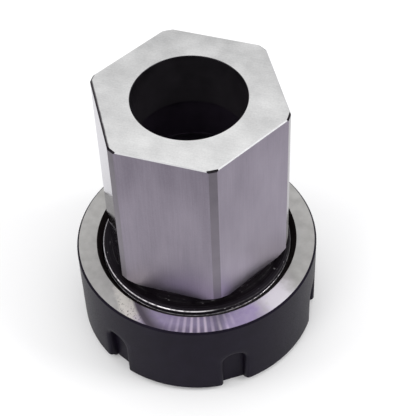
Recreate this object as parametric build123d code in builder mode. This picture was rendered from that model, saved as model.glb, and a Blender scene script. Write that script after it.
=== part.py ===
# Hexagonal collet block with its slotted clamping nut, for size 40 spring collets.
# Z is the collet axis. The nut's front face lies at Z = 0 and the block's rear face at the top.
# Two of the six flats face along Y. All lengths are in millimetres and all angles in degrees.
import os
from math import radians, tan
from build123d import *

os.makedirs("parts", exist_ok=True)

# Overall sizes
overall_height = 77.0
nut_height = 25.5

# Hexagon
across_flats = 43.4
flat_count = 6
corner_circle_d = 49.0
flats_above_nut = 3.2
corner_strip_above_nut = 4.4
rear_lead = 0.45
chamfer_crown = 0.02
flat_bevel = 0.25

# Rear bore and the hollow behind the socket
rear_bore_d = 28.0
rear_bore_depth = 15.4
rear_bore_chamfer = 0.15
hollow_d = 31.0

# Taper socket for the collet
collet_d = 41.0
socket_half_angle = 8.0
socket_depth = 38.0
socket_edge_chamfer = 0.5

# Thread, drawn as plain cylinders at its crests
thread_crest_d = 49.9
thread_fit = 0.05
thread_start_chamfer = 1.1
spigot_above_nut = 0.45
neck_depth = 2.85

# Gap between the block's front end and the lip inside the nut
end_gap = 1.0

# Nut, outside
nut_d = 63.0
nut_front_chamfer = 1.5
nut_back_chamfer = 0.5
nut_mouth_chamfer = 1.3

# Nut, inside
opening_d = 34.4
opening_chamfer = 0.5
opening_land = 1.1
cone_half_angle = 30.0
cone_mouth_inset = 0.2
rim_clearance = 0.25
rim_recess_width = 1.4
lip_bite = 0.6
lip_offset = 0.75
lip_width = 1.5
nut_relief_depth = 0.6
nut_relief_width = 2.5

# Spanner slots in the nut
slot_count = 6
slot_width = 6.0
slot_height = 13.9
slot_depth = 2.5
slot_overrun = 3.0
slot_edge_chamfer = 0.8
slot_angle = 4.6

# Radii worked out from the sizes above
corner_r = corner_circle_d / 2
rear_edge_r = corner_r - rear_lead
crest_r = thread_crest_d / 2
neck_r = crest_r - neck_depth
spigot_edge_r = crest_r - thread_start_chamfer
collet_r = collet_d / 2
socket_end_r = collet_r - socket_depth * tan(radians(socket_half_angle))
nut_bore_r = crest_r + thread_fit
nut_mouth_r = nut_bore_r + nut_mouth_chamfer
nut_relief_r = nut_bore_r + nut_relief_depth
opening_r = opening_d / 2
cone_mouth_r = collet_r - cone_mouth_inset
rim_recess_r = collet_r + rim_clearance
lip_r = collet_r - lip_bite
lip_low_r = lip_r - lip_offset
slot_floor_r = nut_d / 2 - slot_depth

# Heights worked out from the sizes above
flats_z = nut_height + flats_above_nut
corner_strip_z = nut_height + corner_strip_above_nut
strip_foot_r = corner_r - (corner_strip_z - flats_z)
spigot_z = nut_height + spigot_above_nut
cone_base_z = opening_chamfer + opening_land
cone_top_z = cone_base_z + (cone_mouth_r - opening_r) / tan(radians(cone_half_angle))
lip_z = cone_top_z + rim_recess_width
lip_top_z = lip_z + lip_width
block_front_z = lip_top_z + end_gap
socket_end_z = block_front_z + socket_depth
bore_foot_z = overall_height - rear_bore_depth
rear_lead_z = overall_height - rear_lead
slot_arc_z = slot_height - slot_width / 2

# Block: one turned blank, from the threaded spigot in the nut up to the rear face
with BuildPart() as hex_block:
    with BuildSketch(Plane.XZ):
        with BuildLine():
            Polyline(
                (collet_r + socket_edge_chamfer, block_front_z),
                (crest_r - thread_start_chamfer, block_front_z),
                (crest_r, block_front_z + thread_start_chamfer),
                (crest_r, spigot_z - thread_start_chamfer),
                (spigot_edge_r, spigot_z),
                (neck_r, spigot_z),
                (neck_r, flats_z),
                (strip_foot_r, flats_z),
            )
            # Both chamfers of the corners are very slightly crowned
            SagittaArc((strip_foot_r, flats_z), (corner_r, corner_strip_z), -chamfer_crown)
            Line((corner_r, corner_strip_z), (corner_r, rear_lead_z))
            SagittaArc((corner_r, rear_lead_z), (rear_edge_r, overall_height), -chamfer_crown)
            Polyline(
                (rear_edge_r, overall_height),
                (rear_bore_d / 2 + rear_bore_chamfer, overall_height),
                (rear_bore_d / 2, overall_height - rear_bore_chamfer),
                (rear_bore_d / 2, bore_foot_z),
                (hollow_d / 2, bore_foot_z),
                (hollow_d / 2, socket_end_z),
                (socket_end_r, socket_end_z),
                (collet_r, block_front_z + socket_edge_chamfer),
                (collet_r + socket_edge_chamfer, block_front_z),
            )
        make_face()
    revolve(axis=Axis.Z)
    # The six flats are milled from the rear face down to the neck
    with BuildSketch(Plane.XY.offset(flats_z)):
        Circle(corner_r + rear_lead)
        RegularPolygon(across_flats / 2, flat_count, major_radius=False, mode=Mode.SUBTRACT)
    extrude(amount=overall_height - flats_z, mode=Mode.SUBTRACT)
    # Fine bevel where each flat meets the rear face
    rear_edges = hex_block.faces().sort_by(Axis.Z)[-1].edges().filter_by(GeomType.LINE)
    chamfer(rear_edges, flat_bevel)
hex_block.part.label = "hex_block"

# Cutter for one spanner slot: upright, with a flat floor and a round upper end
with BuildPart() as slot_cutter:
    with BuildSketch(Plane.YZ.offset(slot_floor_r)):
        with Locations((0, slot_arc_z)):
            Circle(slot_width / 2)
            Rectangle(slot_width, slot_arc_z + slot_overrun, align=(Align.CENTER, Align.MAX))
    extrude(amount=nut_d / 2)

# Nut: one turned piece with the closing cone, the eccentric drawing lip and the thread bore
with BuildPart() as clamping_nut:
    with BuildSketch(Plane.XZ):
        with BuildLine():
            Polyline(
                (opening_r + opening_chamfer, 0),
                (opening_r, opening_chamfer),
                (opening_r, cone_base_z),
                (cone_mouth_r, cone_top_z),
                (rim_recess_r, cone_top_z),
                (rim_recess_r, lip_z),
                (lip_low_r, lip_z),
                (lip_low_r, lip_top_z),
                (nut_relief_r, lip_top_z),
                (nut_relief_r, lip_top_z + nut_relief_width),
                (nut_bore_r, lip_top_z + nut_relief_width),
                (nut_bore_r, nut_height - nut_mouth_chamfer),
                (nut_mouth_r, nut_height),
                (nut_d / 2 - nut_back_chamfer, nut_height),
                (nut_d / 2, nut_height - nut_back_chamfer),
                (nut_d / 2, nut_front_chamfer),
                (nut_d / 2 - nut_front_chamfer, 0),
                close=True,
            )
        make_face()
    revolve(axis=Axis.Z)
    # The lip is bored off centre, so that it hooks into the collet's groove on one side
    with BuildSketch(Plane.XY.offset(lip_z)):
        with PolarLocations(lip_offset, 1, start_angle=slot_angle):
            Circle(lip_r)
    extrude(amount=lip_width, mode=Mode.SUBTRACT)
    with PolarLocations(0, slot_count, start_angle=slot_angle):
        add(slot_cutter.part, mode=Mode.SUBTRACT)
    # Edges of the slots on the nut's outside, softened so that a spanner slips in
    outside = clamping_nut.faces().filter_by(GeomType.CYLINDER).sort_by(SortBy.RADIUS)[-1]
    slot_edges = outside.edges().filter_by(GeomType.CIRCLE, reverse=True)
    slot_edges = slot_edges.filter_by_position(Axis.Z, 0, slot_height + slot_edge_chamfer)
    chamfer(slot_edges, slot_edge_chamfer)
clamping_nut.part.label = "clamping_nut"

export_step(hex_block.part, "parts/hex_block.step")
export_step(clamping_nut.part, "parts/clamping_nut.step")
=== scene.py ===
# %% [markdown]
# # A hexagonal collet block and its clamping nut
# The object has two pieces: a ground steel block with a hexagonal outside, and a black round nut
# screwed onto the threaded end that it stands on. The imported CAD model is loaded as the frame.
# Its solids have the right sizes, but the block's thread is a plain cylinder there and the nut's
# slots have plain chamfers. So each is replaced by a mesh of the same form with its fine detail.

# %% Load the frame
from math import acos, asin, cos, degrees, pi, radians, sin, sqrt, tan

import bmesh
import bpy
from mathutils import Matrix, Vector


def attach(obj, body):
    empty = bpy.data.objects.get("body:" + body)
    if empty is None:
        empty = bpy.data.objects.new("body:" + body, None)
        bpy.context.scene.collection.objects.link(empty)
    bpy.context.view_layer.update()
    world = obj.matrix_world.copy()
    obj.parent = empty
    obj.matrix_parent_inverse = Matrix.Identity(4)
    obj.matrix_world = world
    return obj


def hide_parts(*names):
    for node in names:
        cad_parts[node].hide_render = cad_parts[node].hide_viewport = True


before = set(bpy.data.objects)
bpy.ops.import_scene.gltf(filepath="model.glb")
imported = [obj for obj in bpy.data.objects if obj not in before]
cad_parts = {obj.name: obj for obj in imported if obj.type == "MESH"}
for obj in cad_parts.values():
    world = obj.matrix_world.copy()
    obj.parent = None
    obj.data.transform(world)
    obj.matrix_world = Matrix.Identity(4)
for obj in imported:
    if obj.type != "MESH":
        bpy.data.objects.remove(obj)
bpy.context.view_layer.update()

# %% [markdown]
# ## Sizes
# These are the sizes of the CAD source, in millimetres: the script multiplies them by MM,
# because Blender counts in metres. Z is the collet's axis. Radii are counted from it, and
# heights from the nut's front face. A flat's reach is its distance from the axis. The thread is
# right-handed and a metric fine one, 50 mm across with a pitch of 1.5 mm, and use has rounded
# its crests over by a quarter of a millimetre. Sizes that come from an angle are rounded to a
# thousandth of a millimetre.

# %% Sizes of the outside
MM = 0.001
REAR_Z = 77.0
FLAT_REACH = 21.7
CORNER_R = 24.5
REAR_LEAD = 0.45
FLAT_BEVEL = 0.25
BEVEL_Z = REAR_Z - FLAT_BEVEL
NUT_HEIGHT = 25.5
NUT_R = 31.5
BACK_CHAMFER = 0.5
RIM_TOP_Z = NUT_HEIGHT - BACK_CHAMFER
FLATS_Z = NUT_HEIGHT + 3.2
STRIP_Z = NUT_HEIGHT + 4.4
SPIGOT_Z = NUT_HEIGHT + 0.45
SIXTH = radians(60)
SLOT_ANGLE = radians(4.6)
print("hexagon", 2 * FLAT_REACH, "mm across its flats, nut", 2 * NUT_R, "mm across")

# %% Sizes of the thread
PITCH = 1.5
CREST_R = 24.95
WORN_CREST_R = 24.7
ROOT_R = 24.08
THREAD_LEAD = 1.1
NECK_R = CREST_R - 2.85
print("pitch", PITCH, "mm, thread depth", round(CREST_R - ROOT_R, 2), "mm")

# %% Sizes of the inside
COLLET_R = 20.5
OPENING_R = 17.2
OPENING_CHAMFER = 0.5
CONE_BASE_Z = 1.6
CONE_MOUTH_R = COLLET_R - 0.2
CONE_TOP_Z = round(CONE_BASE_Z + (CONE_MOUTH_R - OPENING_R) / tan(radians(30)), 3)
RIM_RECESS_R = COLLET_R + 0.25
LIP_R = COLLET_R - 0.6
LIP_SHIFT = 0.75
LIP_Z = CONE_TOP_Z + 1.4
LIP_TOP_Z = LIP_Z + 1.5
NUT_BORE_R = CREST_R + 0.05
NUT_MOUTH_CHAMFER = 1.3
NUT_MOUTH_R = NUT_BORE_R + NUT_MOUTH_CHAMFER
RELIEF_R = NUT_BORE_R + 0.6
RELIEF_TOP_Z = LIP_TOP_Z + 2.5
BLOCK_FRONT_Z = LIP_TOP_Z + 1.0
SOCKET_CHAMFER = 0.5
SOCKET_MOUTH_R = COLLET_R + SOCKET_CHAMFER
SOCKET_DEPTH = 38.0
SOCKET_END_R = round(COLLET_R - SOCKET_DEPTH * tan(radians(8)), 3)
SOCKET_END_Z = BLOCK_FRONT_Z + SOCKET_DEPTH
HOLLOW_R = 15.5
BORE_R = 14.0
BORE_CHAMFER = 0.15
BORE_FOOT_Z = REAR_Z - 15.4
print("socket", 2 * COLLET_R, "to", round(2 * SOCKET_END_R, 2), "mm wide,", SOCKET_DEPTH, "mm deep")

# %% [markdown]
# ## Camera
# The camera was solved from the photograph: its place, its small roll, its focal length, and a
# small shift because the picture was cropped off its middle. Three vectors make its turn.

# %% Camera
CAMERA_AZIMUTH = radians(19.63)
CAMERA_ELEVATION = radians(48.31)
CAMERA_ROLL = radians(-3.118)
CAMERA_DISTANCE = 339.5
CAMERA_TARGET = Vector((0, 0, 46.54))
SENSOR_WIDTH = 36
PHOTO_SIZE = 416
FOCAL_PIXELS = 1349.2
OPTICAL_CENTRE = (193.56, 182.90)


def direction_to(azimuth, elevation):
    """The direction from the object to something at that azimuth and elevation."""
    level = cos(elevation)
    return Vector((sin(azimuth) * level, -cos(azimuth) * level, sin(elevation)))


def put_in_scene(name, data):
    """A new object made of that data."""
    obj = bpy.data.objects.new(name, data)
    bpy.context.scene.collection.objects.link(obj)
    return obj


def add_camera():
    """The photograph's camera, as solved from the object's own edges."""
    back = direction_to(CAMERA_AZIMUTH, CAMERA_ELEVATION)
    right = (-back).cross(Vector((0, 0, 1))).normalized()
    up = right.cross(-back)
    c, s = cos(CAMERA_ROLL), sin(CAMERA_ROLL)
    x_axis, y_axis = c * right + s * up, c * up - s * right
    data = bpy.data.cameras.new("photo_camera")
    data.sensor_width = SENSOR_WIDTH
    data.lens = FOCAL_PIXELS / PHOTO_SIZE * SENSOR_WIDTH
    data.shift_x = (PHOTO_SIZE / 2 - OPTICAL_CENTRE[0]) / PHOTO_SIZE
    data.shift_y = (OPTICAL_CENTRE[1] - PHOTO_SIZE / 2) / PHOTO_SIZE
    camera = put_in_scene("photo_camera", data)
    turn = Matrix((x_axis, y_axis, back)).transposed()
    place = (CAMERA_TARGET + back * CAMERA_DISTANCE) * MM
    camera.matrix_world = Matrix.Translation(place) @ turn.to_4x4()
    bpy.context.scene.camera = camera
    return camera


lens = add_camera().data
print("lens", round(lens.lens, 2), "mm, shift", round(lens.shift_x, 4), round(lens.shift_y, 4))

# %% [markdown]
# ## Light and floor
# Bare steel shows little but what it reflects, so the light has to be large and even: a white
# world does most of it, and a pale floor sends it back up. Three soft square lamps stand round
# the object. They give its sides their slightly different tones and the floor its soft shadow.
# The world is made of nodes, and so are the finishes, so helpers for nodes come first.

# %% Helpers for nodes
def feed(tree, node, inputs):
    """Sets inputs of the node to numbers, or links them to sockets."""
    for key, value in inputs.items():
        if isinstance(value, bpy.types.NodeSocket):
            tree.links.new(value, node.inputs[key])
        else:
            node.inputs[key].default_value = value


def add_node(tree, kind, inputs=None, **settings):
    """A node of that kind, with its settings made and its inputs fed."""
    node = tree.nodes.new(kind)
    for name, value in settings.items():
        setattr(node, name, value)
    feed(tree, node, inputs or {})
    return node


def made(tree, kind, inputs=None, **settings):
    """The first output of such a node."""
    return add_node(tree, kind, inputs, **settings).outputs[0]


def calc(tree, operation, *values):
    """One Math node, given as a formula is: its operation and its numbers or sockets."""
    return made(tree, "ShaderNodeMath", dict(enumerate(values)), operation=operation)


def ramp(tree, value, low, high, bottom=0.0, top=1.0):
    """Goes from bottom to top while value goes from low to high, and stays level outside."""
    keys = {"Value": value, "From Min": low, "From Max": high, "To Min": bottom, "To Max": top}
    return made(tree, "ShaderNodeMapRange", keys)


# %% The white world
WORLD_LIGHT = 0.97


def seen_or_reflected(tree):
    """1 for rays of the camera, of reflections and of glass, 0 for rays that only light things."""
    rays = add_node(tree, "ShaderNodeLightPath").outputs
    seen = calc(tree, "MAXIMUM", rays["Is Camera Ray"], rays["Is Glossy Ray"])
    return calc(tree, "MAXIMUM", seen, rays["Is Transmission Ray"])


def add_world():
    world = bpy.data.worlds.new("white_studio")
    bpy.context.scene.world = world
    world.use_nodes = True
    tree = world.node_tree
    tree.nodes.clear()
    strength = ramp(tree, seen_or_reflected(tree), 0.0, 1.0, WORLD_LIGHT, 1.0)
    background = add_node(tree, "ShaderNodeBackground", {"Color": (1, 1, 1, 1), "Strength": strength})
    output = add_node(tree, "ShaderNodeOutputWorld")
    tree.links.new(background.outputs[0], output.inputs["Surface"])
    return world


bpy.context.scene.view_settings.view_transform = "Standard"
print("world:", add_world().name)

# %% The floor and the lamps
FLOOR_SIZE = 3.0
FLOOR_COLOUR = (0.97, 0.97, 0.975, 1)
LAMP_DISTANCE = 0.6
LAMP_SIZE = 0.2


def new_material(name, inputs):
    """A new material with these inputs of its shader set, its tree and its shader."""
    material = bpy.data.materials.new(name)
    material.use_nodes = True
    tree = material.node_tree
    shader = tree.nodes["Principled BSDF"]
    feed(tree, shader, inputs)
    return material, tree, shader


def add_floor():
    """A large pale floor that stays white where no shadow falls."""
    keys = {"Base Color": FLOOR_COLOUR, "Roughness": 0.9, "Specular IOR Level": 0.0}
    material = new_material("pale_floor", keys)[0]
    mesh = bpy.data.meshes.new("floor")
    half = FLOOR_SIZE / 2
    corners = [(-half, -half, 0), (half, -half, 0), (half, half, 0), (-half, half, 0)]
    mesh.from_pydata(corners, [], [(0, 1, 2, 3)])
    mesh.materials.append(material)
    floor = put_in_scene("floor", mesh)


def add_lamp(name, azimuth, elevation, power):
    """A soft square lamp turned to the middle of the object, its azimuth counted from the camera's."""
    data = bpy.data.lights.new(name, "AREA")
    data.size = LAMP_SIZE
    data.energy = power
    lamp = put_in_scene(name, data)
    away = direction_to(CAMERA_AZIMUTH + radians(azimuth), radians(elevation))
    lamp.location = CAMERA_TARGET * MM + away * LAMP_DISTANCE
    lamp.rotation_euler = away.to_track_quat("Z", "Y").to_euler()


add_floor()
add_lamp("left_softbox", -38, 40, 0.4)
add_lamp("right_softbox", 73, 37, 0.9)
add_lamp("side_softbox", -82, 42, 0.4)
print("lamps:", bpy.data.lights.keys())

# %% [markdown]
# ## Finishes
# The block was blackened first and ground afterwards, so its flats and its rear face are bare
# steel while the neck, the thread, the bores and the corner leads stay black. Every finish is a
# small tree of noise in real millimetres: clouds for the colour, and long thin noise for the
# lines that a grinding wheel or a turning tool leaves.

# %% Places on the object
def vector_calc(tree, operation, *values, give="Vector"):
    """One Vector Math node, given as calc() is, and the output that is wanted."""
    keys = dict(enumerate(values))
    return add_node(tree, "ShaderNodeVectorMath", keys, operation=operation).outputs[give]


def vector_of(tree, x=0.0, y=0.0, z=0.0):
    return made(tree, "ShaderNodeCombineXYZ", {0: x, 1: y, 2: z})


def millimetres(tree):
    """Object coordinates in millimetres."""
    place = add_node(tree, "ShaderNodeTexCoord").outputs["Object"]
    return vector_calc(tree, "MULTIPLY", place, (1 / MM, 1 / MM, 1 / MM))


def height_of(tree, place):
    return add_node(tree, "ShaderNodeSeparateXYZ", {0: place}).outputs["Z"]


def from_axis(tree, place):
    """The direction away from the object's axis, and the distance from it in millimetres."""
    flat = vector_calc(tree, "MULTIPLY", place, (1, 1, 0))
    return vector_calc(tree, "NORMALIZE", flat), vector_calc(tree, "LENGTH", flat, give="Value")


def angle_about_axis(tree, direction):
    """The angle about the axis of a direction away from it, in radians."""
    part = add_node(tree, "ShaderNodeSeparateXYZ", {0: direction}).outputs
    return calc(tree, "ARCTAN2", part["Y"], part["X"])


def towards(tree, place, angle):
    """How far a place lies from the axis in the direction of that angle."""
    there = (cos(angle), sin(angle), 0)
    return vector_calc(tree, "DOT_PRODUCT", place, there, give="Value")


# %% Noise and colour
def noise(tree, place, size, stretch=(1, 1, 1), turn=0.0, detail=3.0):
    """Soft noise from 0 to 1 with features of that size, drawn out by stretch after a turn about Z."""
    scale = tuple(1 / (size * s) for s in stretch)
    mapped = add_node(tree, "ShaderNodeMapping", {"Vector": place, "Rotation": (0, 0, turn), "Scale": scale})
    keys = {"Vector": mapped.outputs[0], "Scale": 1.0, "Detail": detail}
    return made(tree, "ShaderNodeTexNoise", keys)


def spread(tree, value, bottom=0.0, top=1.0):
    """The middle range of a noise becomes bottom to top."""
    return ramp(tree, value, 0.3, 0.7, bottom, top)


def between(tree, share, first, second):
    """A colour between two colours, each given as numbers or as a socket."""
    keys = {0: share}
    for socket, colour in ((6, first), (7, second)):
        keys[socket] = colour if isinstance(colour, bpy.types.NodeSocket) else (*colour, 1)
    return add_node(tree, "ShaderNodeMix", keys, data_type="RGBA").outputs[2]


def bare_finish(name, metallic, specular=0.5, tint=(1, 1, 1)):
    """A new material, its tree, its shader, and coordinates in millimetres."""
    keys = {"Metallic": metallic, "Specular IOR Level": specular, "Specular Tint": (*tint, 1)}
    material, tree, shader = new_material(name, keys)
    return material, tree, shader, millimetres(tree)


def relief(tree, shader, height, depth):
    """Bumps that deep, in millimetres, where height goes from 0 to 1."""
    bump = add_node(tree, "ShaderNodeBump", {"Height": height, "Strength": 1.0, "Distance": depth * MM})
    feed(tree, shader, {"Normal": bump.outputs[0]})


# %% [markdown]
# ### Ground steel
# The rear face is light and cloudy: the wheel left fine straight lines, and handling left faint
# patches. One side of it is painted a shade darker than the other, as painted light. The flats are
# darker, with a violet tint, and their lines run along the block. They were ground one after
# another, so each has a tone of its own, picked by White Noise from its number. Flats and corner
# strips are painted lighter towards their foot, as a painted reflection. Over one flat, a thin black
# line along the rear face's edge is a painted dark reflection.
#
# Seen nearly edge-on, ground steel turns from satin into a mirror, because only the tops of its
# lines are left to see. The Facing output of a Layer Weight node tells how edge-on the view is.

# %% What changes from place to place on ground steel
FIRST_FLAT_AT = radians(-90)
FLAT_SEED = 380
# painted light: the side of the rear face that is painted lighter
PAINTED_LIGHT_SIDE_AT = radians(-70)
# a thin black line painted along one edge of the rear face: a painted dark reflection
PAINTED_DARK_EDGE_AT = radians(-150)
PAINTED_DARK_EDGE_WIDTH = 0.3
PAINTED_DARK_EDGE_COLOUR = (0.07, 0.064, 0.071)


def weigh_in(tree, share, weight, value, full, none):
    """A share in which value has that weight: all of it at the value full, and none of it at none."""
    return calc(tree, "MULTIPLY_ADD", share, 1 - weight, ramp(tree, value, full, none, weight, 0.0))


def flat_tone(tree, place):
    """A number from 0 to 1 that is the same all over one flat."""
    turned = calc(tree, "SUBTRACT", angle_about_axis(tree, from_axis(tree, place)[0]), FIRST_FLAT_AT)
    number = calc(tree, "ADD", calc(tree, "ROUND", calc(tree, "DIVIDE", turned, SIXTH)), FLAT_SEED)
    return add_node(tree, "ShaderNodeTexWhiteNoise", {"W": number}, noise_dimensions="1D").outputs["Value"]


def painted_dark_edge(tree, place):
    """1 in the thin line along the rear face's edge that is painted black as a painted dark reflection."""
    painted_dark_from = FLAT_REACH - FLAT_BEVEL - PAINTED_DARK_EDGE_WIDTH
    wander = spread(tree, noise(tree, place, 1.5), -0.05, 0.05)
    reach = calc(tree, "ADD", towards(tree, place, PAINTED_DARK_EDGE_AT), wander)
    return ramp(tree, reach, painted_dark_from - 0.15, painted_dark_from + 0.1)


# %% Ground steel
SPECK_SIZE = 0.45
ROUGHNESS_SPREAD = 0.04
MIRROR_ROUGHNESS = 0.08
MIRROR_FROM = 0.7
MIRROR_FULL_AT = 0.86


def ground_finish(name, dark, light, clouds, lines, roughness, depth, foot=0.0, tone=0.0, side=0.0,
                  contrast=1.0, edge_tint=(1, 1, 1), black=None):
    """Bare ground steel. Its clouds and lines are noise, each given as size, stretch and turn.

    Foot, tone and side are the weights that the height, the flat's own tone and the way across
    the block have in its colour. Foot paints a reflection, lighter towards the foot, and side paints
    light, lighter on one side. Contrast strengthens the noise. Black finds a thin line that is painted
    black as a dark reflection.
    """
    material, tree, shader, place = bare_finish(name, 1.0, tint=edge_tint)
    marks = noise(tree, place, *lines)
    specks = noise(tree, place, SPECK_SIZE)
    fine = calc(tree, "ADD", spread(tree, marks, 0.0, 0.25), spread(tree, specks, 0.0, 0.25))
    share = calc(tree, "ADD", spread(tree, noise(tree, place, *clouds), 0.0, 0.5), fine)
    share = calc(tree, "MULTIPLY_ADD", share, contrast, (1 - contrast) / 2)
    share = weigh_in(tree, share, tone, flat_tone(tree, place), 1.0, 0.0)
    # painted reflection: lighter towards the foot
    share = weigh_in(tree, share, foot, height_of(tree, place), FLATS_Z, REAR_Z)
    # painted light: lighter on one side of the block
    share = weigh_in(tree, share, side, towards(tree, place, PAINTED_LIGHT_SIDE_AT), FLAT_REACH, -FLAT_REACH)
    colour = between(tree, share, dark, light)
    # painted dark reflection: a thin black line along one edge
    if black:
        colour = between(tree, black(tree, place), colour, PAINTED_DARK_EDGE_COLOUR)
    edge_on = add_node(tree, "ShaderNodeLayerWeight", {"Blend": 0.5}).outputs["Facing"]
    satin = spread(tree, specks, roughness - ROUGHNESS_SPREAD, roughness + ROUGHNESS_SPREAD)
    sheen = ramp(tree, edge_on, MIRROR_FROM, MIRROR_FULL_AT, satin, MIRROR_ROUGHNESS)
    feed(tree, shader, {"Base Color": colour, "Roughness": sheen})
    relief(tree, shader, marks, depth)
    return material


# the rear face: one side painted lighter as painted light, and a thin black line painted as a dark
# reflection
ground_end = ground_finish(
    "ground_end_steel", (0.40, 0.40, 0.404), (0.88, 0.88, 0.88), clouds=(6.5,),
    lines=(0.14, (40, 1, 1), 0.6), roughness=0.33, depth=0.0015, side=0.36, black=painted_dark_edge)
# flats and corner strips: painted lighter towards the foot, as a painted reflection
ground_flat = ground_finish(
    "ground_flat_steel", (0.158, 0.140, 0.173), (0.347, 0.316, 0.369), clouds=(6.0, (1, 1, 3)),
    lines=(0.22, (1, 1, 60)), roughness=0.36, depth=0.0015, foot=0.46, tone=0.62, contrast=2.4,
    edge_tint=(0.68, 0.67, 0.71))
turned_strip = ground_finish(
    "turned_strip_steel", (0.095, 0.085, 0.101), (0.23, 0.208, 0.243), clouds=(5.0,),
    lines=(0.14, (30, 30, 1)), roughness=0.36, depth=0.002, foot=0.7)
bright_bevel = ground_finish(
    "bright_bevel_steel", (0.45, 0.45, 0.46), (0.56, 0.56, 0.57), clouds=(3.0,),
    lines=(0.14, (30, 30, 1)), roughness=0.55, depth=0.001)
print("finishes:", bpy.data.materials.keys())

# %% [markdown]
# ### Rubbed places and a painted highlight on the thread
# The nut has rubbed the thread bright again in two places: in a line round the bevel where the
# thread starts, and on the crests below it, most of all in one short stretch. The line round the
# bevel is also a painted highlight: it is bright only on the side where it catches the light. Fine
# scratches and nicks are left by handling. Distances from the axis and heights find them all,
# because a thread is the same all the way round, and the angle then says where the rubbing and the
# painted highlight are strong.

# %% Rubbed places and a painted highlight on the thread
RUB_R = 24.48
RUB_HALF_WIDTH = 0.13
# each arc: the angle of its middle, half its width, and how softly it ends
# painted highlight: the arc on which the line round the bevel catches the light
HIGHLIGHT_ARC = (radians(-125), radians(57), 0.15)
WORN_ARC = (radians(-34), radians(12), 0.3)
THREAD_START_Z = SPIGOT_Z - 1.0


def times(tree, first, *others):
    """All the values multiplied together."""
    for other in others:
        first = calc(tree, "MULTIPLY", first, other)
    return first


def arc(tree, direction, middle, half_width, soft, outside=0.0):
    """1 on an arc about the axis, and the value that is given outside it."""
    turned = calc(tree, "ARCCOSINE", towards(tree, direction, middle))
    return ramp(tree, turned, half_width, half_width + soft, 1.0, outside)


def rubbed_and_highlit_line(tree, direction, radius, height):
    """1 in the line round the bevel, which is partly worn and partly a painted highlight, and nearly 0 on
    the side where no highlight is painted.
    """
    off_line = calc(tree, "ABSOLUTE", calc(tree, "SUBTRACT", radius, RUB_R))
    # the arc below is a painted highlight: the line is bright only where it catches the light
    return times(tree, ramp(tree, off_line, RUB_HALF_WIDTH / 2, RUB_HALF_WIDTH, 1.0, 0.0),
                 ramp(tree, height, THREAD_START_Z, THREAD_START_Z + 0.1),
                 arc(tree, direction, *HIGHLIGHT_ARC, outside=0.06))


def rubbed_crests(tree, place, direction, radius, height):
    """How bright the crests below are: about a half, and more on the worn arc."""
    worn = times(tree, arc(tree, direction, *WORN_ARC), ramp(tree, noise(tree, place, 0.8), 0.44, 0.54))
    return times(tree, ramp(tree, radius, WORN_CREST_R - 0.12, WORN_CREST_R - 0.04),
                 ramp(tree, height, THREAD_START_Z - 0.2, THREAD_START_Z - 0.1, 1.0, 0.0),
                 calc(tree, "MULTIPLY_ADD", worn, 0.9, 0.45))


def handling_marks(tree, place, radius, height):
    """Faint scratches that run round the thread, and short nicks, both in patches."""
    around = vector_of(tree, calc(tree, "ADD", radius, height))
    scratches = ramp(tree, noise(tree, around, 0.4), 0.52, 0.7, 0.0, 0.07)
    nicks = ramp(tree, noise(tree, place, 0.22, (7, 7, 1), detail=1.0), 0.70, 0.76, 0.0, 0.5)
    patches = ramp(tree, noise(tree, place, 5.0), 0.42, 0.6)
    return times(tree, calc(tree, "MAXIMUM", scratches, nicks), patches)


def rubbed_and_highlit_thread(tree, place):
    """From 0 on black oxide to 1 on steel that the nut has rubbed bright, and on the line round the bevel
    where a highlight is painted.
    """
    direction, radius = from_axis(tree, place)
    height = height_of(tree, place)
    # partly wear, and on the line round the bevel partly a painted highlight
    rubbed = calc(tree, "MAXIMUM", rubbed_and_highlit_line(tree, direction, radius, height),
                  rubbed_crests(tree, place, direction, radius, height))
    broken = spread(tree, noise(tree, place, 1.2), 0.3, 1.3)
    on_thread = ramp(tree, height, SPIGOT_Z + 0.1, SPIGOT_Z + 0.3, 1.0, 0.0)
    rubbed = times(tree, rubbed, broken, on_thread)
    return calc(tree, "MAXIMUM", rubbed, handling_marks(tree, place, radius, height))


print("rubbed line", round(CREST_R - RUB_R, 2), "mm inside the crests")

# %% [markdown]
# ### Black oxide
# Blackening turns the skin of the steel into a thin, nearly matt layer. It is a dark dielectric
# with a weak gloss, not a metal, and it shows faint mottling and the turning lines under it.
# Down in the bores it is painted greyer towards the bottom: painted light against the shade deep
# in them. Where the thread is rubbed or a highlight is painted on it, one share mixes in the colour
# of steel and makes the surface a metal.

# %% Black oxide
OXIDE_TINT = (0.86, 0.80, 1.0)
RUBBED_AND_HIGHLIT_STEEL = (0.66, 0.63, 0.66)
GRAIN_SIZE = 0.35
GLOSS_SPREAD = 0.06
HOLLOW_GREY_Z = BLOCK_FRONT_Z + 20


def oxide_finish(name, dark, light, gloss, roughness, depth=0.003, rubbed=None, foot=0.0,
                 low=BORE_FOOT_Z, high=REAR_Z):
    """Black oxide that is painted lighter downwards, as painted light: foot is the weight of the height
    between high and low.
    """
    material, tree, shader, place = bare_finish(name, 0.0, gloss, OXIDE_TINT)
    grain = noise(tree, place, GRAIN_SIZE)
    lines = noise(tree, place, 0.22, (40, 40, 1))
    clouds = spread(tree, noise(tree, place, 4.0))
    # painted light: lighter downwards, against the shade deep in the bores
    share = weigh_in(tree, clouds, foot, height_of(tree, place), low, high)
    colour = between(tree, share, dark, light)
    if rubbed:
        # the rubbed mask holds wear and, on the line round the bevel, a painted highlight
        bright = rubbed(tree, place)
        colour = between(tree, bright, colour, RUBBED_AND_HIGHLIT_STEEL)
        feed(tree, shader, {"Metallic": bright})
    matt = spread(tree, grain, roughness - GLOSS_SPREAD, roughness + GLOSS_SPREAD)
    feed(tree, shader, {"Base Color": colour, "Roughness": matt})
    relief(tree, shader, calc(tree, "MULTIPLY_ADD", grain, 0.5, times(tree, lines, 0.5)), depth)
    return material


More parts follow.
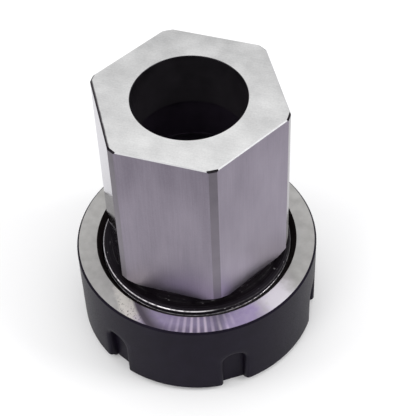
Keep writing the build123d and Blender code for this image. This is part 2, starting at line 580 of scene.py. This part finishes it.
black_block = oxide_finish(
    "blackened_steel", (0.0045, 0.0033, 0.0046), (0.0072, 0.0054, 0.0074), gloss=0.08,
    roughness=0.32, rubbed=rubbed_and_highlit_thread)
# bore and hollow are painted lighter downwards: painted light
black_bore = oxide_finish(
    "blackened_bore", (0.0055, 0.0049, 0.0058), (0.0310, 0.0275, 0.0327), gloss=0.15,
    roughness=0.36, foot=0.75)
dull_hollow = oxide_finish(
    "dull_black_hollow", (0.022, 0.017, 0.027), (0.066, 0.051, 0.078), gloss=0.25,
    roughness=0.45, foot=0.8, low=HOLLOW_GREY_Z, high=BORE_FOOT_Z)
black_nut = oxide_finish(
    "satin_black_nut", (0.0062, 0.0047, 0.0095), (0.0082, 0.0062, 0.0128), gloss=0.06,
    roughness=0.4, depth=0.004)
oiled_inside = oxide_finish(
    "oiled_black_inside", (0.009, 0.0065, 0.0066), (0.014, 0.0102, 0.0104), gloss=0.1, roughness=0.34)
print("finishes:", bpy.data.materials.keys())

# %% [markdown]
# ### The nut's ground ring
# The nut's back face was finished on the lathe, so its lines are circles about the axis. Such
# lines throw light out in thin rays, evenly spaced: a sine of the angle about the axis gives them,
# painted as highlights. They show in a violet patch across one part of the ring, a painted
# reflection of the flats above it. The painted reflection is darker near the rim, as painted shade,
# and ends in a dark slanting edge of painted shade on one side. Past that edge the ring has a
# brighter and warmer painted highlight, with small dark specks, and past the other end a lighter
# painted highlight.

# %% The ring's steel
RING_MIDDLE_R = 28.7
RING_DARK = (0.41, 0.402, 0.394)
RING_LIGHT = (0.495, 0.487, 0.478)
# each patch: the angle of its middle, half its width, and how soft its edge is
# painted highlight, lighter, past one end of the painted reflection
PAINTED_HIGHLIGHT = (radians(-28.5), radians(10), 0.07)
PAINTED_HIGHLIGHT_COLOUR = (0.66, 0.65, 0.67)
# painted highlight, warmer, with small dark specks, past the other end of the painted reflection
WARM_PAINTED_HIGHLIGHT = (radians(-109), radians(7), 0.05)
WARM_PAINTED_HIGHLIGHT_COLOUR = (0.72, 0.69, 0.65)
PIT_SIZE = 0.42
PIT_COLOUR = (0.16, 0.145, 0.135)


def patch(tree, place, angle, middle, half_width, soft):
    """1 within half the width of the middle, with an edge that wanders a little."""
    wander = spread(tree, noise(tree, place, 3.0), -0.07, 0.07)
    away = calc(tree, "ADD", calc(tree, "ABSOLUTE", calc(tree, "SUBTRACT", angle, middle)), wander)
    return ramp(tree, away, half_width - soft, half_width + soft, 1.0, 0.0)


def ring_steel(tree, place, radius, turned, leaning):
    """The bare steel and its two painted highlights, the warm one with specks that are fewer near the mouth.
    """
    mottle = spread(tree, noise(tree, place, 2.5))
    painted_highlight = patch(tree, place, turned, *PAINTED_HIGHLIGHT)
    steel = between(tree, painted_highlight, between(tree, mottle, RING_DARK, RING_LIGHT), PAINTED_HIGHLIGHT_COLOUR)
    specks = ramp(tree, noise(tree, place, PIT_SIZE, detail=2.0), 0.33, 0.42, 1.0, 0.0)
    pits = times(tree, specks, ramp(tree, radius, RING_MIDDLE_R - 1.0, RING_MIDDLE_R + 0.6, 0.25, 1.0))
    warm_painted_highlight = patch(tree, place, leaning, *WARM_PAINTED_HIGHLIGHT)
    return between(tree, warm_painted_highlight, steel, between(tree, pits, WARM_PAINTED_HIGHLIGHT_COLOUR, PIT_COLOUR))


print("ring:", round(NUT_R - BACK_CHAMFER - NUT_MOUTH_R, 2), "mm wide")

# %% The painted reflection and its highlight rays
# painted reflection of the flats in the ring, with painted shade near the rim
PAINTED_REFLECTION = (radians(-69), radians(30), 0.1)
PAINTED_REFLECTION_COLOUR = (0.405, 0.345, 0.53)
PALE_PAINTED_REFLECTION_COLOUR = (0.475, 0.42, 0.565)
RIM_PAINTED_SHADE = (radians(-80), radians(15), 0.1)
RIM_PAINTED_SHADE_COLOUR = (0.30, 0.26, 0.37)
# painted highlights: thin rays in the painted reflection
RAYS_IN_A_TURN = 104
RAYS = (radians(-72), radians(11), 0.12)
PAINTED_RAY_COLOUR = (0.97, 0.87, 1.0)
# painted shade: the dark slanting edge of the painted reflection
PAINTED_SHADE_EDGE_AT = radians(-102.4)
PAINTED_SHADE_EDGE_COLOUR = (0.13, 0.113, 0.14)


def ring_painted_reflection(tree, place, direction, radius, turned):
    """The painted reflection's colour: cloudy, with painted shade near the rim in one part, and the painted
    highlight rays in it.
    """
    painted_reflection = between(tree, spread(tree, noise(tree, place, 1.6)), PAINTED_REFLECTION_COLOUR, PALE_PAINTED_REFLECTION_COLOUR)
    near_rim = times(tree, patch(tree, place, turned, *RIM_PAINTED_SHADE),
                     ramp(tree, radius, RING_MIDDLE_R, RING_MIDDLE_R + 1.6))
    waves = calc(tree, "SINE", times(tree, turned, RAYS_IN_A_TURN))
    rays = times(tree, ramp(tree, waves, -0.3, 1.0),
                 patch(tree, place, turned, *RAYS),
                 spread(tree, noise(tree, direction, 0.05), 0.55, 1.1))
    return between(tree, rays, between(tree, near_rim, painted_reflection, RIM_PAINTED_SHADE_COLOUR), PAINTED_RAY_COLOUR)


def painted_shade_edge(tree, leaning):
    """1 in the dark edge of painted shade, which starts sharply and fades out into the painted reflection.
    """
    return times(tree, ramp(tree, leaning, PAINTED_SHADE_EDGE_AT - 0.045, PAINTED_SHADE_EDGE_AT),
                 ramp(tree, leaning, PAINTED_SHADE_EDGE_AT + 0.05, PAINTED_SHADE_EDGE_AT + 0.21, 1.0, 0.0))


print("film from", round(degrees(PAINTED_SHADE_EDGE_AT)), "degrees on, with", RAYS_IN_A_TURN, "rays in a turn")

# %% The nut's ground ring
LEAN = 0.048


def ring_finish(name):
    """Turned steel whose gloss is drawn out across its circles, with the painted reflection, painted shade
    and painted highlights on it.
    """
    material, tree, shader, place = bare_finish(name, 1.0)
    direction, radius = from_axis(tree, place)
    turned = angle_about_axis(tree, direction)
    off_middle = calc(tree, "SUBTRACT", radius, RING_MIDDLE_R)
    leaning = calc(tree, "MULTIPLY_ADD", off_middle, -LEAN, turned)
    steel = ring_steel(tree, place, radius, turned, leaning)
    painted_reflection = ring_painted_reflection(tree, place, direction, radius, turned)
    # the painted reflection over the steel, then its edge of painted shade
    colour = between(tree, patch(tree, place, turned, *PAINTED_REFLECTION), steel, painted_reflection)
    colour = between(tree, painted_shade_edge(tree, leaning), colour, PAINTED_SHADE_EDGE_COLOUR)
    satin = spread(tree, noise(tree, place, 0.5), 0.32, 0.40)
    keys = {"vector_type": "VECTOR", "convert_from": "OBJECT", "convert_to": "WORLD"}
    outwards = made(tree, "ShaderNodeVectorTransform", {0: direction}, **keys)
    keys = {"Base Color": colour, "Roughness": satin, "Tangent": outwards, "Anisotropic": 0.9}
    feed(tree, shader, keys)
    relief(tree, shader, noise(tree, vector_of(tree, radius), 0.12, detail=1.0), 0.001)
    return material


ground_ring = ring_finish("ground_ring_steel")
print("finishes:", bpy.data.materials.keys())

# %% [markdown]
# ## A lathe made of Geometry Nodes
# Both pieces are turned on a lathe, so one tree makes both. It takes a half-section, a row of
# points, and sends every point of a flat grid to its place: the row picks a point of the
# section, the column picks an angle. The block's six flats are part of the same rule: a point
# may lie no further out than the flat in front of it. Columns are placed exactly on the edges
# of the flats, so those edges are straight and sharp.

# %% Trees, and reading a half-section in them
NO_FLAT = 1.0
MERGE_WITHIN = 0.002


def new_tree(name, sizes, *objects):
    """An empty Geometry Nodes tree: a shape in and out, named sizes and objects, and a material."""
    tree = bpy.data.node_groups.new(name, "GeometryNodeTree")

    def socket(label, kind, in_out="INPUT"):
        return tree.interface.new_socket(label, in_out=in_out, socket_type="NodeSocket" + kind)

    socket("Geometry", "Geometry")
    for label, value in sizes.items():
        socket(label, "Int" if isinstance(value, int) else "Float").default_value = value
    for label in objects:
        socket(label, "Object")
    socket("Material", "Material")
    socket("Geometry", "Geometry", "OUTPUT")
    return tree, add_node(tree, "NodeGroupInput").outputs, add_node(tree, "NodeGroupOutput").inputs


def moved_to(tree, shape, x, y, z):
    """The shape with each point put where the three numbers say."""
    keys = {"Geometry": shape, "Position": vector_of(tree, x, y, z)}
    return made(tree, "GeometryNodeSetPosition", keys)


def merged(tree, shape):
    """The shape with the points that meet made one."""
    keys = {"Geometry": shape, "Distance": MERGE_WITHIN * MM}
    return made(tree, "GeometryNodeMergeByDistance", keys)


def end_tree(tree, shape, given, result):
    """How every tree ends: its instances are made real and its material is set."""
    real = made(tree, "GeometryNodeRealizeInstances", {"Geometry": shape})
    keys = {"Geometry": real, "Material": given["Material"]}
    painted = add_node(tree, "GeometryNodeSetMaterial", keys)
    tree.links.new(painted.outputs[0], result["Geometry"])
    return tree


def sample_row(tree, section, row, kind, value):
    """A value of the half-section at one of its points."""
    keys = {"Geometry": section, "Value": value, "Index": row}
    return made(tree, "GeometryNodeSampleIndex", keys, data_type=kind)


def row_attribute(tree, section, row, name):
    value = made(tree, "GeometryNodeInputNamedAttribute", {"Name": name}, data_type="FLOAT")
    return sample_row(tree, section, row, "FLOAT", value)


def section_object(name, section):
    """The half-section as loose points: radius, height, and the flat's reach and the shift, if any."""
    mesh = bpy.data.meshes.new(name)
    mesh.from_pydata([(point[0] * MM, 0, point[1] * MM) for point in section], [], [])
    reach = mesh.attributes.new("reach", "FLOAT", "POINT")
    shift = mesh.attributes.new("shift", "FLOAT", "POINT")
    for i, point in enumerate(section):
        _, _, flat, moved = (*point, 0.0, 0.0)[:4]
        reach.data[i].value = flat * MM if flat else NO_FLAT
        shift.data[i].value = moved * MM
    return put_in_scene(name, mesh)


# %% The lathe tree
def column_swing(tree, given, side, radius, reach):
    """How far a column is turned from the middle of its sixth, where side is 0.

    The one at Outer share lies exactly where the flat meets the turned surface.
    """
    share = calc(tree, "ABSOLUTE", side)
    inner, inner_share, outer_share = given["Inner angle"], given["Inner share"], given["Outer share"]
    meets = calc(tree, "ARCCOSINE", calc(tree, "MINIMUM", calc(tree, "DIVIDE", reach, radius), 1.0))
    milled = calc(tree, "LESS_THAN", reach, radius)
    edge = made(tree, "ShaderNodeMix", {0: milled, 2: given["Outer angle"], 3: meets})
    middle = ramp(tree, share, 0.0, inner_share, 0.0, inner)
    beside = ramp(tree, share, inner_share, outer_share, 0.0, calc(tree, "SUBTRACT", edge, inner))
    corner = ramp(tree, share, outer_share, 1.0, 0.0, calc(tree, "SUBTRACT", SIXTH / 2, edge))
    swing = calc(tree, "ADD", middle, calc(tree, "ADD", beside, corner))
    return times(tree, swing, calc(tree, "SIGN", side))


def lathe_tree():
    """Turns the half-section about Z, in six equal parts that start at the centre angle."""
    tree, given, result = new_tree("lathe", {
        "Rows": 2, "Columns in a sixth": 36, "Centre angle": 0.0, "Inner share": 1 / 3,
        "Outer share": 2 / 3, "Inner angle": SIXTH / 6, "Outer angle": SIXTH / 3})
    section, rows, columns = given["Geometry"], given["Rows"], given["Columns in a sixth"]
    centre = given["Centre angle"]
    around = calc(tree, "MULTIPLY_ADD", columns, 6.0, 1.0)
    grid = add_node(tree, "GeometryNodeMeshGrid", {"Vertices X": around, "Vertices Y": rows})
    index = made(tree, "GeometryNodeInputIndex")
    row = calc(tree, "FLOORED_MODULO", index, rows)
    column = calc(tree, "FLOOR", calc(tree, "DIVIDE", calc(tree, "ADD", index, 0.5), rows))
    position = made(tree, "GeometryNodeInputPosition")
    point = sample_row(tree, section, row, "FLOAT_VECTOR", position)
    part = add_node(tree, "ShaderNodeSeparateXYZ", {0: point}).outputs
    reach = row_attribute(tree, section, row, "reach")
    shift = row_attribute(tree, section, row, "shift")
    # the sixth's number, and the place across it from -1 to 1
    sixth = calc(tree, "FLOOR", calc(tree, "DIVIDE", calc(tree, "ADD", column, 0.01), columns))
    passed = calc(tree, "SUBTRACT", column, times(tree, sixth, columns))
    side = calc(tree, "MULTIPLY_ADD", calc(tree, "DIVIDE", passed, columns), 2.0, -1.0)
    swing = column_swing(tree, given, side, part["X"], reach)
    angle = calc(tree, "ADD", centre, calc(tree, "MULTIPLY_ADD", sixth, SIXTH, swing))
    radius = calc(tree, "MINIMUM", part["X"], calc(tree, "DIVIDE", reach, calc(tree, "COSINE", swing)))
    x, y = (calc(tree, "MULTIPLY_ADD", radius, calc(tree, way, angle),
                 times(tree, shift, calc(tree, way, centre))) for way in ("COSINE", "SINE"))
    turned = moved_to(tree, grid.outputs["Mesh"], x, y, part["Z"])
    return end_tree(tree, merged(tree, turned), given, result)


lathe = lathe_tree()
print("lathe tree:", len(lathe.nodes), "nodes")


# %% Run a tree and keep its result
def run_tree(obj, tree, sizes):
    """Runs the tree on the object and keeps the result as a plain mesh."""
    modifier = obj.modifiers.new(tree.name, "NODES")
    modifier.node_group = tree
    sockets = {item.name: item.identifier for item in tree.interface.items_tree if item.in_out == "INPUT"}
    for label, value in sizes.items():
        modifier[sockets[label]] = value
    keep_as_mesh(obj)
    obj.data.name = obj.name
    print(obj.name, "from", tree.name, "has", len(obj.data.polygons), "faces")


def keep_as_mesh(obj):
    """The result of the object's modifier becomes its own mesh, and the modifier goes."""
    bpy.context.view_layer.update()
    shaped = bpy.data.meshes.new_from_object(obj.evaluated_get(bpy.context.evaluated_depsgraph_get()))
    obj.modifiers.clear()
    obj.data = shaped


# %% [markdown]
# ## The block's blank
# The half-section runs round the block's wall once: up the thread and the neck, up the flats,
# over the rear face, down the bore, the hollow and the taper socket, and back to its start.
# Where a chamfer of the corners crosses the flats, its edge is a curve, so it takes more rows.

# %% The block's blank
CHAMFER_ROWS = 6
LEAD_ROWS = 4
BEVEL_ROWS = 3
REAR_RING_R = 19.0
REAR_EDGE_R = CORNER_R - REAR_LEAD
WORN_LEAD = WORN_CREST_R - CREST_R + THREAD_LEAD
BLOCK_COLUMNS = 48


def steps(first, last, count):
    """Points from first towards last, with last left out, so that a curve on the surface stays smooth."""
    return [tuple(a + (b - a) * i / count for a, b in zip(first, last)) for i in range(count)]


strip_foot = (CORNER_R, STRIP_Z, FLAT_REACH)
bevel_start = (REAR_EDGE_R + FLAT_BEVEL, BEVEL_Z, FLAT_REACH)
rear_edge = (REAR_EDGE_R, REAR_Z, FLAT_REACH - FLAT_BEVEL)
block_section = [
    (SOCKET_MOUTH_R, BLOCK_FRONT_Z), (CREST_R - THREAD_LEAD, BLOCK_FRONT_Z),
    (WORN_CREST_R, BLOCK_FRONT_Z + WORN_LEAD), (WORN_CREST_R, SPIGOT_Z - WORN_LEAD),
    (CREST_R - THREAD_LEAD, SPIGOT_Z), (NECK_R, SPIGOT_Z), (NECK_R, FLATS_Z),
    *steps((CORNER_R - STRIP_Z + FLATS_Z, FLATS_Z, FLAT_REACH), strip_foot, CHAMFER_ROWS), strip_foot,
    *steps((CORNER_R, REAR_Z - REAR_LEAD, FLAT_REACH), bevel_start, LEAD_ROWS),
    *steps(bevel_start, rear_edge, BEVEL_ROWS),
    rear_edge, (REAR_RING_R, REAR_Z), (BORE_R + BORE_CHAMFER, REAR_Z), (BORE_R, REAR_Z - BORE_CHAMFER),
    (BORE_R, BORE_FOOT_Z), (HOLLOW_R, BORE_FOOT_Z), (HOLLOW_R, SOCKET_END_Z), (SOCKET_END_R, SOCKET_END_Z),
    (COLLET_R, BLOCK_FRONT_Z + SOCKET_CHAMFER), (SOCKET_MOUTH_R, BLOCK_FRONT_Z)]
block = section_object("collet_block", block_section)
run_tree(block, lathe, {
    "Rows": len(block_section), "Columns in a sixth": BLOCK_COLUMNS, "Centre angle": -pi / 2,
    "Inner share": 1 / 3, "Outer share": 5 / 6, "Inner angle": acos(FLAT_REACH / NECK_R),
    "Outer angle": acos(FLAT_REACH / CORNER_R), "Material": ground_flat})

# %% [markdown]
# ## The thread
# A lathe cuts a thread by drawing a pointed tool along the turning work. Here too the groove is
# a solid of its own: the tool's section swept along a helix. It starts in the air below the
# end of the block and runs out in the neck, and is then cut out of the blank with a Boolean.
# One crest was seen in the photograph, at a height and an angle that place all the turns.

# %% The threading tool
FLANK = tan(radians(30))
ROOT_HALF_WIDTH = 0.154
ROOT_FLAT = 0.08
ROOT_ROUND = 0.07
TOOL_TOP_R = 25.06


def tool_section(name):
    """The threading tool's outline: narrow at the root, and wider outwards by 30 degrees on each side."""
    half = [(ROOT_R, ROOT_FLAT), (ROOT_R + ROOT_ROUND, ROOT_HALF_WIDTH + ROOT_ROUND * FLANK),
            (TOOL_TOP_R, ROOT_HALF_WIDTH + (TOOL_TOP_R - ROOT_R) * FLANK)]
    outline = [(r - ROOT_R, w) for r, w in half] + [(r - ROOT_R, -w) for r, w in reversed(half)]
    mesh = bpy.data.meshes.new(name)
    edges = [(i, (i + 1) % len(outline)) for i in range(len(outline))]
    mesh.from_pydata([(out * MM, w * MM, 0) for out, w in outline], edges, [])
    return put_in_scene(name, mesh)


groove = tool_section("thread_groove")
print("tool:", len(groove.data.vertices), "corners")

# %% The groove along its helix
CREST_AT = (25.3, radians(-70.37))
GROOVE_START_Z = 9.3


def groove_tree():
    tree, given, result = new_tree("screw_groove", {
        "Pitch": PITCH * MM, "Turns": 12, "Points per turn": 96, "Radius": ROOT_R * MM,
        "Start height": GROOVE_START_Z * MM, "Start angle": 0.0})
    count = calc(tree, "MULTIPLY_ADD", given["Turns"], given["Points per turn"], 1.0)
    line = add_node(tree, "GeometryNodeMeshLine", {"Count": count}).outputs["Mesh"]
    index = made(tree, "GeometryNodeInputIndex")
    turns = calc(tree, "DIVIDE", index, given["Points per turn"])
    angle = calc(tree, "MULTIPLY_ADD", turns, 2 * pi, given["Start angle"])
    x, y = (times(tree, given["Radius"], calc(tree, way, angle)) for way in ("COSINE", "SINE"))
    z = calc(tree, "MULTIPLY_ADD", turns, given["Pitch"], given["Start height"])
    helix = moved_to(tree, line, x, y, z)
    path = made(tree, "GeometryNodeMeshToCurve", {"Mesh": helix})
    upright = made(tree, "GeometryNodeSetCurveNormal", {"Curve": path}, mode="Z_UP")
    tool = made(tree, "GeometryNodeMeshToCurve", {"Mesh": given["Geometry"]})
    keys = {"Curve": upright, "Profile Curve": tool, "Fill Caps": True}
    swept = made(tree, "GeometryNodeCurveToMesh", keys)
    return end_tree(tree, swept, given, result)


crest_z, crest_angle = CREST_AT
start_turns = (GROOVE_START_Z - (crest_z - PITCH / 2)) / PITCH
start_angle = crest_angle + start_turns * 2 * pi
run_tree(groove, groove_tree(), {"Start angle": start_angle, "Material": black_block})
radii = [v.co.xy.length / MM for v in groove.data.vertices]
print("groove from radius", round(min(radii), 3), "to", round(max(radii), 3), "mm")

# %% [markdown]
# ### Cutting the thread
# The exact solver keeps the result closed. Both shapes are first made to face outwards, because a
# Boolean takes the side that a face looks to for the outside. The count of open edges has to
# be 0 and the volume has to be positive, or the piece isn't a solid.

# %% Cut the thread
def outward(obj):
    """Turns the faces outwards, and gives the open edges and the volume in cubic millimetres."""
    shape = bmesh.new()
    shape.from_mesh(obj.data)
    bmesh.ops.recalc_face_normals(shape, faces=shape.faces)
    open_edges = sum(not e.is_manifold for e in shape.edges)
    volume = shape.calc_volume(signed=True)
    shape.to_mesh(obj.data)
    shape.free()
    return open_edges, round(volume / MM ** 3, 1)


print("blank", outward(block), "groove", outward(groove))
cut = block.modifiers.new("thread", "BOOLEAN")
cut.operation = "DIFFERENCE"
cut.solver = "EXACT"
cut.object = groove
keep_as_mesh(block)
bpy.data.objects.remove(groove)
print("threaded block", len(block.data.polygons), "faces", outward(block))

# %% Body of the block
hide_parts("hex_block")
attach(block, "block")
print(block.name, "rides on the body block")

# %% [markdown]
# ## The nut's turned faces
# The same lathe tree turns the nut. Its section is left open where the six spanner slots are,
# between the front face and the back chamfer. The lip inside has its own centre: it is bored
# off the axis, so that it hooks into the collet's groove on one side and draws the collet out.

# %% The nut's turned faces
NUT_COLUMNS = 36
FRONT_RING_R = 28.5

nut_section = [
    (FRONT_RING_R, 0), (OPENING_R + OPENING_CHAMFER, 0), (OPENING_R, OPENING_CHAMFER),
    (OPENING_R, CONE_BASE_Z), (CONE_MOUTH_R, CONE_TOP_Z), (RIM_RECESS_R, CONE_TOP_Z), (RIM_RECESS_R, LIP_Z),
    (LIP_R, LIP_Z, 0, LIP_SHIFT), (LIP_R, LIP_TOP_Z, 0, LIP_SHIFT),
    (RELIEF_R, LIP_TOP_Z), (RELIEF_R, RELIEF_TOP_Z), (NUT_BORE_R, RELIEF_TOP_Z),
    (NUT_BORE_R, NUT_HEIGHT - NUT_MOUTH_CHAMFER), (NUT_MOUTH_R, NUT_HEIGHT),
    (NUT_R - BACK_CHAMFER, NUT_HEIGHT), (NUT_R, RIM_TOP_Z)]
nut_band = section_object("nut_band", nut_section)
run_tree(nut_band, lathe, {
    "Rows": len(nut_section), "Columns in a sixth": NUT_COLUMNS, "Centre angle": SLOT_ANGLE,
    "Material": black_nut})

# %% [markdown]
# ## One sixth of the rim, with its slot
# The slots repeat six times, so one sixth is made on its own and the rest are copies. Its columns
# start on the sixth's border and run to the slot's outline, round over the soft edge and down
# the wall to the flat floor. Each column has its own place on the border and on the outline.

# %% The columns of one sixth
SLOT_HALF = 3.0
SLOT_ARC_Z = 10.9
SLOT_FLOOR_X = NUT_R - 2.5
SLOT_ROUND = 1.1
FRONT_CHAMFER = 1.5
LEG_HEIGHTS = (0, 0.6, FRONT_CHAMFER, 4.5, 8.0)
SIDE_STEPS = 5
ARCH_STEPS = NUT_COLUMNS + 2 * SIDE_STEPS


def rim_radius(z):
    return NUT_R - FRONT_CHAMFER + min(z, FRONT_CHAMFER)


def rim_point(y, z, depth=0.0):
    """A point of the nut's outside, or that deep under it, y being across the slot."""
    return (sqrt(rim_radius(z) ** 2 - y * y) - depth, y, z)


def half_columns():
    """For one side's columns: the outline's point and outward direction, the border's angle and height."""
    for z in LEG_HEIGHTS:
        yield SLOT_HALF, z, 1.0, 0.0, SIXTH / 2, z
    for i in range(ARCH_STEPS // 2 + 1):
        turn = pi * i / ARCH_STEPS
        out_y, out_z = cos(turn), sin(turn)
        side = min(i, SIDE_STEPS) / SIDE_STEPS
        across = max(i - SIDE_STEPS, 0) / NUT_COLUMNS
        border_z = SLOT_ARC_Z + (RIM_TOP_Z - SLOT_ARC_Z) * side
        z = SLOT_ARC_Z + SLOT_HALF * out_z
        yield SLOT_HALF * out_y, z, out_y, out_z, SIXTH * (0.5 - across), border_z


print("columns in a sixth:", 2 * len(list(half_columns())) - 1)

# %% The points of a column
LOFT_ROWS = 10
ROUND_ROWS = 4
SOFT_SHARE = 0.8


def rim_column(y, z, out_y, out_z, border_angle, border_z):
    """One column of points, from the border to the foot of the slot's wall."""
    soft = min(SLOT_ROUND, SOFT_SHARE * (rim_point(y, z)[0] - SLOT_FLOOR_X))
    edge_y, edge_z = y + out_y * soft, z + out_z * soft
    edge_angle = asin(edge_y / rim_radius(edge_z))
    column = []
    for i in range(LOFT_ROWS + 1):
        share = i / LOFT_ROWS
        angle = border_angle + (edge_angle - border_angle) * share
        height = border_z + (edge_z - border_z) * share
        column.append((rim_radius(height) * cos(angle), rim_radius(height) * sin(angle), height))
    for i in range(1, ROUND_ROWS + 1):
        turn = pi / 2 * i / ROUND_ROWS
        out = soft * (1 - sin(turn))
        column.append(rim_point(y + out_y * out, z + out_z * out, soft * (1 - cos(turn))))
    column.append((SLOT_FLOOR_X, y, z))
    return column


print("points in a column:", len(rim_column(*next(half_columns()))))

# %% One sixth of the rim
NOTCH_STEPS = NUT_COLUMNS - 2 * (LOFT_ROWS + ROUND_ROWS + 1)


def make_sixth(name):
    """The rim's outside, the slot's wall and floor, and the front face of one sixth."""
    half = [rim_column(*column) for column in half_columns()]
    mirrored = [[(x, -y, z) for x, y, z in column] for column in reversed(half[:-1])]
    shape = bmesh.new()

    def corner(*point):
        return shape.verts.new(Vector(point) * MM)

    columns = [[corner(*point) for point in column] for column in half + mirrored]
    for a, b in zip(columns, columns[1:]):
        for i in range(len(a) - 1):
            shape.faces.new((a[i], a[i + 1], b[i + 1], b[i]))
    notch = [corner(SLOT_FLOOR_X, SLOT_HALF * (1 - 2 * i / NOTCH_STEPS), 0) for i in range(1, NOTCH_STEPS)]
    shape.faces.new([column[-1] for column in columns] + notch[::-1])
    # the front face, from the ring that the lathe left to the slot's notch
    front_edge = columns[0] + notch + columns[-1][::-1]
    angles = [SIXTH * (0.5 - i / NUT_COLUMNS) for i in range(NUT_COLUMNS + 1)]
    ring = [corner(FRONT_RING_R * cos(a), FRONT_RING_R * sin(a), 0) for a in angles]
    for i in range(NUT_COLUMNS):
        shape.faces.new((ring[i], ring[i + 1], front_edge[i + 1], front_edge[i]))
    mesh = bpy.data.meshes.new(name)
    shape.to_mesh(mesh)
    shape.free()
    return put_in_scene(name, mesh)


nut = make_sixth("clamping_ring_nut")
print("one sixth:", len(nut.data.polygons), "faces")

# %% [markdown]
# ## The whole nut
# A second tree puts six copies of the sixth on one spot, each turned 60 degrees further, and adds
# the turned faces. All parts meet point on point, so Merge by Distance closes them to one solid.

# %% Six sixths and the turned faces in one tree
def nut_tree():
    keys = {"Slots": 6, "First angle": SLOT_ANGLE}
    tree, given, result = new_tree("slotted_nut", keys, "Turned faces")
    keys = {"Count": given["Slots"], "Offset": (0, 0, 0)}
    centres = made(tree, "GeometryNodeMeshLine", keys)
    index = made(tree, "GeometryNodeInputIndex")
    step = calc(tree, "DIVIDE", 2 * pi, given["Slots"])
    angle = calc(tree, "MULTIPLY_ADD", index, step, given["First angle"])
    turn = vector_of(tree, z=angle)
    keys = {"Points": centres, "Instance": given["Geometry"], "Rotation": turn}
    copies = made(tree, "GeometryNodeInstanceOnPoints", keys)
    turned = add_node(tree, "GeometryNodeObjectInfo", {"Object": given["Turned faces"]})
    joined = add_node(tree, "GeometryNodeJoinGeometry")
    tree.links.new(copies, joined.inputs[0])
    tree.links.new(turned.outputs["Geometry"], joined.inputs[0])
    real = made(tree, "GeometryNodeRealizeInstances", {"Geometry": joined.outputs[0]})
    return end_tree(tree, merged(tree, real), given, result)


run_tree(nut, nut_tree(), {"Turned faces": nut_band, "Material": black_nut})
bpy.data.objects.remove(nut_band)
print("nut", outward(nut))

# %% Body of the nut
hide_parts("clamping_nut")
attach(nut, "nut")
print(nut.name, "rides on the body nut")

# %% [markdown]
# ## Which faces are ground and which stay black
# The grinding wheel touched only some faces, so each face gets its finish from where it lies
# and which way it looks. The rear bevel over one flat is black as a painted dark reflection.
# Smooth shading with sharp edges above 25 degrees keeps round faces round and leaves the edges
# crisp.

# %% Finishes on the faces
SHARP_FROM = radians(25)


def paint(obj, materials, choose):
    """Gives each face the material that choose() returns for its middle and its direction."""
    obj.data.materials.clear()
    for material in materials:
        obj.data.materials.append(material)
    counts = dict.fromkeys((m.name for m in materials), 0)
    for face in obj.data.polygons:
        face.use_smooth = True
        material = choose(face.center / MM, face.normal)
        face.material_index = materials.index(material)
        counts[material.name] += 1
    obj.data.set_sharp_from_angle(angle=SHARP_FROM)
    print(obj.name, counts)


def on_rear_bevel(middle, direction):
    """Whether a face is part of the bevel between a flat and the rear face."""
    if middle.z < BEVEL_Z or middle.xy.length < SOCKET_MOUTH_R or direction.xy.length < 0.1:
        return False
    reach = middle.xy.dot(direction.xy.normalized())
    return abs(reach - FLAT_REACH) < FLAT_BEVEL


def block_finish(middle, direction):
    if direction.z > 0.99 and middle.z > REAR_Z - 0.01:
        return ground_end
    outside = middle.xy.dot(direction.xy)
    if abs(direction.z) < 0.01 and middle.z > FLATS_Z:
        if abs(outside - FLAT_REACH) < 0.01:
            return ground_flat
        if outside > CORNER_R - 0.1:
            return turned_strip
    if on_rear_bevel(middle, direction):
        # the bevel on this side is black as a painted dark reflection
        painted_dark_way = Vector((cos(PAINTED_DARK_EDGE_AT), sin(PAINTED_DARK_EDGE_AT)))
        return black_block if painted_dark_way.dot(direction.xy.normalized()) > 0.99 else bright_bevel
    if middle.xy.length < SOCKET_MOUTH_R:
        return black_bore if middle.z > BORE_FOOT_Z else dull_hollow
    return black_block


def nut_finish(middle, direction):
    if direction.z > 0.99 and middle.z > NUT_HEIGHT - 0.01:
        return ground_ring
    return oiled_inside if middle.xy.length < NUT_MOUTH_R and middle.z > 0.01 else black_nut


paint(block, [ground_end, ground_flat, turned_strip, bright_bevel, black_block, black_bore, dull_hollow],
      block_finish)
paint(nut, [black_nut, ground_ring, oiled_inside], nut_finish)
